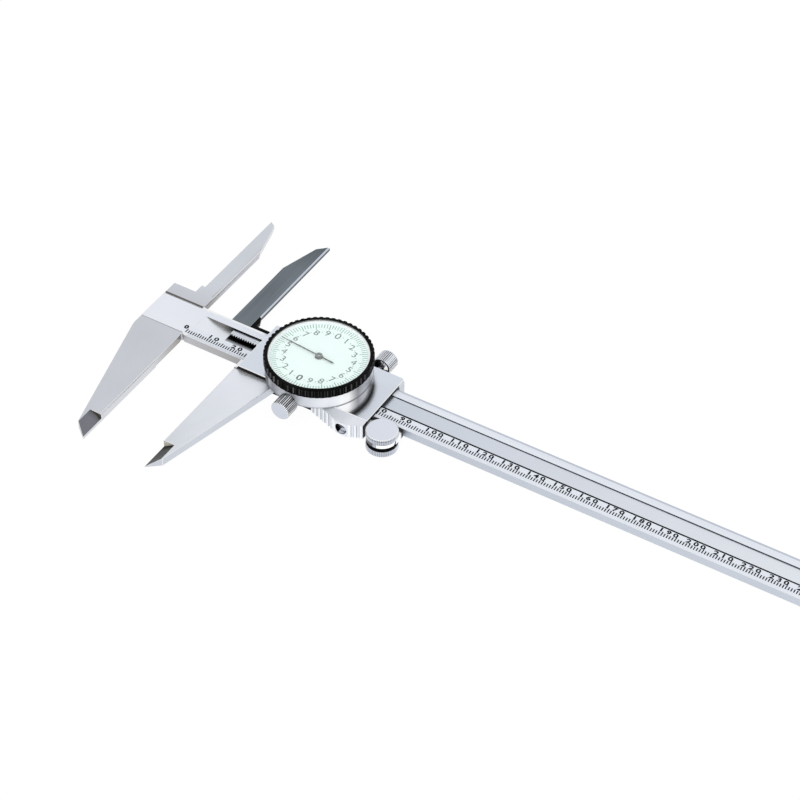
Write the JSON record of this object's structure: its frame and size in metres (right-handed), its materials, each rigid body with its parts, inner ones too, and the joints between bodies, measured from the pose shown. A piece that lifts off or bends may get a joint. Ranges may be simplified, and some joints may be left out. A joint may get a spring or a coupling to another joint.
{
  "type": "dial caliper",
  "caption": "Long dial caliper: flat graduated beam with fixed jaws, sliding jaw unit with a round dial, rack-driven pointer, rotating bezel, thumb roller, lock screw and depth rod.",
  "frame": {"origin": "on the front face of the fixed block at the beam's left end, in the plane of the fixed outside measuring face and on the beam's centre line", "axes": "+X along the beam from the jaws to its free end, +Y across the beam towards the inside jaws, +Z out of the graduated face towards the dial"},
  "size_m": [0.4149, 0.1298, 0.0157],
  "materials": {
    "satin_steel": "ground stainless steel",
    "satin_chrome": "satin chrome scale face",
    "bright_steel": "turned bright steel",
    "black_bezel": "black moulded ring",
    "dial_white": "pale dial lacquer",
    "crystal": "clear crystal",
    "brass": "turned brass",
    "dark_steel": "dark spring steel",
    "pointer_black": "dark painted needle"
  },
  "bodies": {
    "beam": {"main_beam": "satin_steel", "rack": "satin_steel", "rack_screws": "satin_steel", "travel_stop_screw": "bright_steel"},
    "slider": {"slider_frame": "satin_steel", "gib": "brass", "gib_screws": "bright_steel", "slider_cover": "satin_chrome", "cover_screws": "bright_steel", "dial_housing": "bright_steel", "housing_screws": "bright_steel", "movement_base": "brass", "movement_pillars": "brass", "movement_bridge": "brass", "bridge_screws": "bright_steel", "arbor_bushes": "brass", "bezel_spring": "dark_steel", "depth_rod": "satin_steel", "depth_rod_screws": "bright_steel", "roller_bracket": "dark_steel", "bracket_screw": "bright_steel"},
    "dial_bezel": {"bezel": "black_bezel", "dial_face": "dial_white", "dial_rim_ring": "dial_white", "crystal": "crystal"},
    "drive_arbor": {"pinion_arbor": "dark_steel", "drive_wheel": "brass", "takeup_wheel": "brass", "takeup_spring": "dark_steel"},
    "pointer_arbor": {"centre_arbor": "dark_steel", "pointer": "pointer_black", "pointer_hub": "bright_steel"},
    "roller": {"thumb_roller": "bright_steel", "roller_flange": "bright_steel", "roller_screw": "bright_steel"},
    "lock_screw": {"slider_lock_screw": "bright_steel"},
    "clamp_screw": {"bezel_clamp_screw": "bright_steel"}
  },
  "joints": [
    {"name": "slider_slide", "type": "slide", "parent": "beam", "child": "slider", "axis": [1, 0, 0], "range_m": [-0.02553, 0.27447]},
    {"name": "pinion_turn", "type": "hinge", "parent": "slider", "child": "drive_arbor", "pos_m": [0.04461, -0.00041, 0], "axis": [0, 0, 1], "range_deg": [-771, 8240]},
    {"name": "pointer_turn", "type": "hinge", "parent": "slider", "child": "pointer_arbor", "pos_m": [0.053, -0.0001, 0.009], "axis": [0, 0, 1], "range_deg": [-49415, 4606]},
    {"name": "bezel_turn", "type": "hinge", "parent": "slider", "child": "dial_bezel", "pos_m": [0.053, -0.0001, 0.008], "axis": [0, 0, 1], "continuous": true},
    {"name": "roller_turn", "type": "hinge", "parent": "slider", "child": "roller", "pos_m": [0.0875, -0.01415, -0.0017], "axis": [0, 0, 1], "continuous": true},
    {"name": "lock_screw_turn", "type": "hinge", "parent": "slider", "child": "lock_screw", "pos_m": [0.0688, 0.0159, -0.0014], "axis": [0, 1, 0], "range_deg": [-180, 0]},
    {"name": "clamp_screw_turn", "type": "hinge", "parent": "slider", "child": "clamp_screw", "pos_m": [0.0537, -0.0204, 0.0037], "axis": [0, -1, 0], "range_deg": [-180, 0]}
  ],
  "couplings": [
    {"joint": "pinion_turn", "follows": "slider_slide", "rad_per_m": 523.6},
    {"joint": "pointer_turn", "follows": "slider_slide", "rad_per_m": -3141.6}
  ]
}
